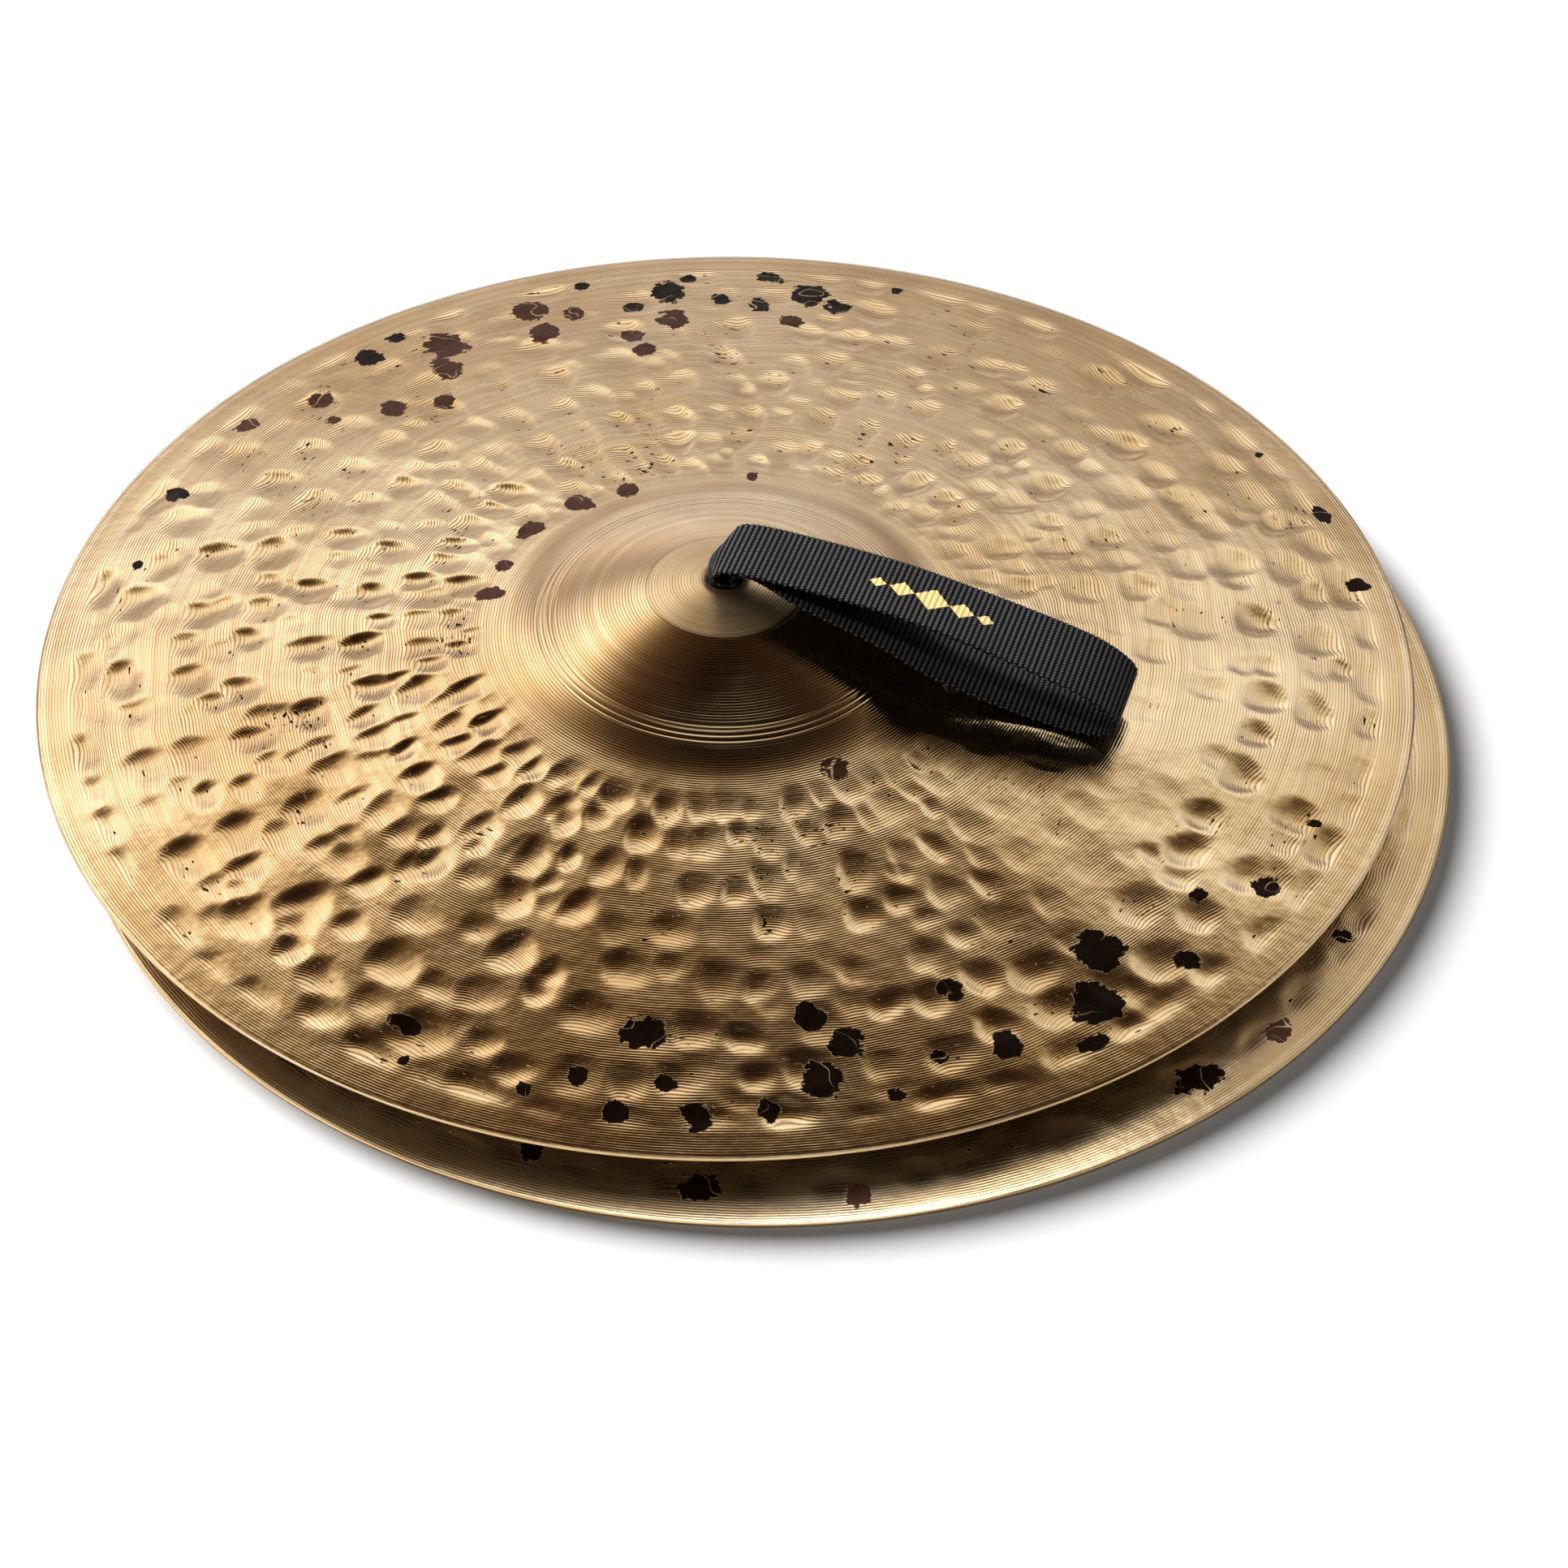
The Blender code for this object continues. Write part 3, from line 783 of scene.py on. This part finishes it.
def make_tail(prefix, letter, place, heading, body, material):
    """One free end of the webbing, coming out of the knot and hanging down."""
    node = f"{prefix}_tail_{letter}"
    low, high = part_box(node)
    drop = (high.z - low.z) / MM - WEB_T / MM
    route = [(9.0, 1.6), (13.0, 1.0)]
    route += [(13.3 + 23.7 * t, -drop * t * t) for t in (0.15, 0.3, 0.45, 0.6, 0.75, 0.9, 1.0)]
    def width(s):
        return (13.0 + 8.0 * smooth(2 * MM, 20 * MM, s)) * MM
    def roll(path, s):
        return 1.3 * (1 - smooth(2 * MM, 22 * MM, s)) + 0.2
    mesh, _ = ribbon(node + "_end", route, width, WEB_T, roll, constant(-1.0), constant(1.0))
    piece = add_piece(node + "_end", mesh, material)
    piece.location = (place[0], place[1], high.z - WEB_T / 2)
    piece.rotation_euler = (0, 0, heading)
    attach(piece, body)
    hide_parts(node)
    return piece


# ---------------------------------------------------------------- build


def twist(mesh):
    """Turns the outer half of the loop a little, so that its near edge lies lower."""
    place = np.zeros(len(mesh.vertices) * 3, np.float32)
    mesh.vertices.foreach_get("co", place)
    u, v, z = place.reshape(-1, 3).T.astype(float)
    turn = TWIST * smooth(65 * MM, 137 * MM, u)
    centre = 26.6 * MM + 0.2 * (137 * MM - u)
    over = z - centre
    sideways = v * np.cos(turn) - over * np.sin(turn)
    twisted = np.stack([u, sideways, centre + over * np.cos(turn) + v * np.sin(turn)])
    mesh.vertices.foreach_set("co", twisted.T.astype(np.float32).ravel())
    mesh.update()


def make_strap(prefix, route, heading, roll_side, materials, roll, squeeze):
    """A hand loop with its neck, as one ribbon. Also gives the ribbon's flat length."""
    node = f"{prefix}_plate"
    name = f"{prefix}_strap"
    mesh, s = ribbon(name, route, constant(WEB_W), WEB_T, roll, roll_side, squeeze, beaded=prefix == "upper")
    if prefix == "upper":
        twist(mesh)
    strap = add_piece(name, mesh, materials["printed" if prefix == "upper" else "plain"])
    low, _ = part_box(node)
    place_strap(strap, node, heading, low.z)
    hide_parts(f"{prefix}_loop", f"{prefix}_neck")
    return strap, float(s[-1])


def main():
    """Makes both cymbals with their straps, knots, tails and pads."""
    metal = {"upper": bronze("upper_bronze", 0.10), "lower": bronze("lower_bronze", 0.26)}
    cloth = {"plain": webbing("webbing_plain"), "printed": webbing("webbing_printed", printed=True)}
    hide = leather("leather_brown")
    make_plate("upper_bronze_plate", "upper_plate", "upper_cymbal", metal["upper"], 11,
               math.radians(235), 0.90, math.radians(-28), UPPER_MARKS)
    make_plate("lower_bronze_plate", "lower_plate", "lower_cymbal", metal["lower"], 23,
               math.radians(200), 0.80, math.radians(144), LOWER_MARKS)

    upper_roll = gathered(UPPER_ROLL, (3 * MM, 54.5 * MM), -18 * MM)
    lower_roll = gathered(LOWER_ROLL, (22 * MM, 46.0 * MM), 8 * MM)
    upper_press = pressed(1.0, 0.68, 8 * MM, 30 * MM)
    lower_press = pressed(0.45, 0.43, 9 * MM, 32 * MM)
    straps = {}
    inwards = halves(-1.0, 1.0)
    straps["upper"] = make_strap("upper", UPPER_ROUTE, UPPER_HEADING, inwards, cloth, upper_roll, upper_press)
    straps["lower"] = make_strap("lower", lower_route(), LOWER_HEADING, inwards, cloth,
                                 lower_roll, lower_press)
    for side, (strap, length) in straps.items():
        place = strap.location.copy()
        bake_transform(strap)
        heading = UPPER_HEADING if side == "upper" else LOWER_HEADING
        knot = make_knot(side, place, heading, f"{side}_strap_turn", cloth["plain"])
        tails = [
            make_tail(side, letter, place, heading + math.radians(turn), f"{side}_strap_turn", cloth["plain"])
            for letter, turn in (("a", 90), ("b", -90))
        ]
        make_pad(f"{side}_leather_pad", f"{side}_pad", f"{side}_cymbal", hide)


# ---------------------------------------------------------------- studio


FLOOR_HALF = 8.0
LAMP_DISTANCE = 3.0


def lamp(name, kind, azimuth, elevation):
    """A lamp seen from the object at that azimuth, clockwise from +Y, and elevation, aimed at the object."""
    a, e = math.radians(azimuth), math.radians(elevation)
    made = bpy.data.objects.new(name, bpy.data.lights.new(name, kind))
    bpy.context.scene.collection.objects.link(made)
    towards = Vector((math.sin(a) * math.cos(e), math.cos(a) * math.cos(e), math.sin(e)))
    made.location = LAMP_DISTANCE * towards
    made.rotation_euler = (-towards).to_track_quat("-Z", "Y").to_euler()
    return made


def sun(name, azimuth, elevation, spread, strength):
    """A broad far lamp that lights the cloth and the floor. The bronze reflects only the walls."""
    made = lamp(name, "SUN", azimuth, elevation)
    made.data.angle = math.radians(spread)
    made.data.energy = strength
    made.visible_glossy = False


def panel(name, azimuth, elevation, side, radiance, lit):
    """A square panel lamp that lights only the pieces with one of these words in their names."""
    made = lamp(name, "AREA", azimuth, elevation)
    made.data.size = side
    made.data.energy = radiance * side * side * math.pi
    only = bpy.data.collections.new(name + "_lights")
    for piece in bpy.data.objects:
        if piece.type == "MESH" and any(word in piece.name for word in lit):
            only.objects.link(piece)
    made.light_linking.receiver_collection = only


# Brightness and colour of the studio walls by elevation in degrees: a bright band with a dark ceiling.
WALLS = (
    (-10, 0.90, (1.0, 0.89, 0.83)), (0, 1.06, (1.0, 0.89, 0.85)), (9, 0.90, (1.0, 0.87, 0.81)),
    (16, 0.46, (1.0, 0.85, 0.80)), (23, 0.48, (1.0, 0.85, 0.81)), (30, 1.02, (1.0, 0.93, 0.90)),
    (36, 1.34, (1.0, 0.95, 0.89)), (43, 1.34, (1.0, 0.93, 0.81)), (48, 0.94, (1.0, 0.85, 0.64)),
    (52, 0.44, (1.0, 0.75, 0.47)), (56, 0.19, (1.0, 0.66, 0.37)), (60, 0.09, (1.0, 0.58, 0.31)),
    (65, 0.05, (1.0, 0.52, 0.27)), (72, 0.03, (1.0, 0.48, 0.25)), (81, 0.003, (1.0, 0.45, 0.25)),
    (90, 0.0, (1.0, 0.45, 0.25)),
)
SIDE_LIGHT = 0.75  # how much brighter the walls are towards the left
DULLEST_WALL = 0.6  # and how dark they get towards the right
WALL_LOW, WALL_HIGH = -10.0, 90.0
FRONT_CEILING = (0.80, 0.70, 0.58, 1.0)  # the ceiling is pale over the viewer's side
FRONT_CEILING_FROM = (50.0, 60.0)


def studio_walls():
    """The world: its brightness and colour go by elevation."""
    world = bpy.data.worlds.new("studio")
    bpy.context.scene.world = world
    t = Tree(world)
    towards = t.node("SeparateXYZ", "X", {0: t.node("TexCoord", "Generated")}).node
    elevation = t.math("MULTIPLY", t.math("ARCSINE", towards.outputs["Z"]), 180 / math.pi)
    share = t.math("DIVIDE", t.math("SUBTRACT", elevation, WALL_LOW), WALL_HIGH - WALL_LOW, clamp=True)
    ramp = t.node("ValToRGB", 0, {0: share}).node
    points = ramp.color_ramp.elements
    while len(points) < len(WALLS):
        points.new(0.5)
    for point, (degrees, light, colour) in zip(points, WALLS):
        point.position = (degrees - WALL_LOW) / (WALL_HIGH - WALL_LOW)
        point.color = (*(c * light for c in colour), 1.0)
    background = t.nodes["Background"]
    in_front = t.ramp(towards.outputs["Y"], -0.22, -0.02, 1.0, 0.0)
    overhead = t.math("MULTIPLY", t.ramp(elevation, *FRONT_CEILING_FROM), in_front)
    t.put(background.inputs["Color"], t.mix(overhead, ramp.outputs[0], FRONT_CEILING))
    strength = t.math("MULTIPLY_ADD", towards.outputs["X"], -SIDE_LIGHT, 1.0)
    t.put(background.inputs["Strength"], t.math("MAXIMUM", strength, DULLEST_WALL))


def studio():
    """Walls, lamps and floor."""
    studio_walls()
    bpy.context.scene.world.cycles_visibility.diffuse = False
    sun("key", -48, 37, 20, 6.8)
    sun("fill", 20, 80, 62, 0.35)
    panel("rim_glow", 0, 82, 1.9, 4.8, ("lower_bronze",))
    panel("thread_glint", -25, 58, 0.35, 300.0, ("strap", "knot", "tail"))
    panel("inner_glint", 165, 62, 0.35, 120.0, ("strap", "knot", "tail"))
    bpy.context.scene.view_settings.view_transform = "Standard"

    floor = bpy.data.meshes.new("floor")
    far = FLOOR_HALF
    floor.from_pydata([(-far, -far, 0), (far, -far, 0), (far, far, 0), (-far, far, 0)], [], [(0, 1, 2, 3)])
    add_piece("floor", floor, floor_material(), smooth_faces=False)


def make_camera():
    """The camera, in front of the pair and above it."""
    camera = bpy.data.objects.new("camera", bpy.data.cameras.new("camera"))
    bpy.context.scene.collection.objects.link(camera)
    camera.data.lens = LENS_MM
    camera.data.sensor_width = SENSOR_MM
    camera.location = CAMERA_AT
    camera.rotation_euler = (math.pi / 2 - VIEW_ELEVATION, 0, 0)
    bpy.context.scene.camera = camera


make_camera()
main()
studio()
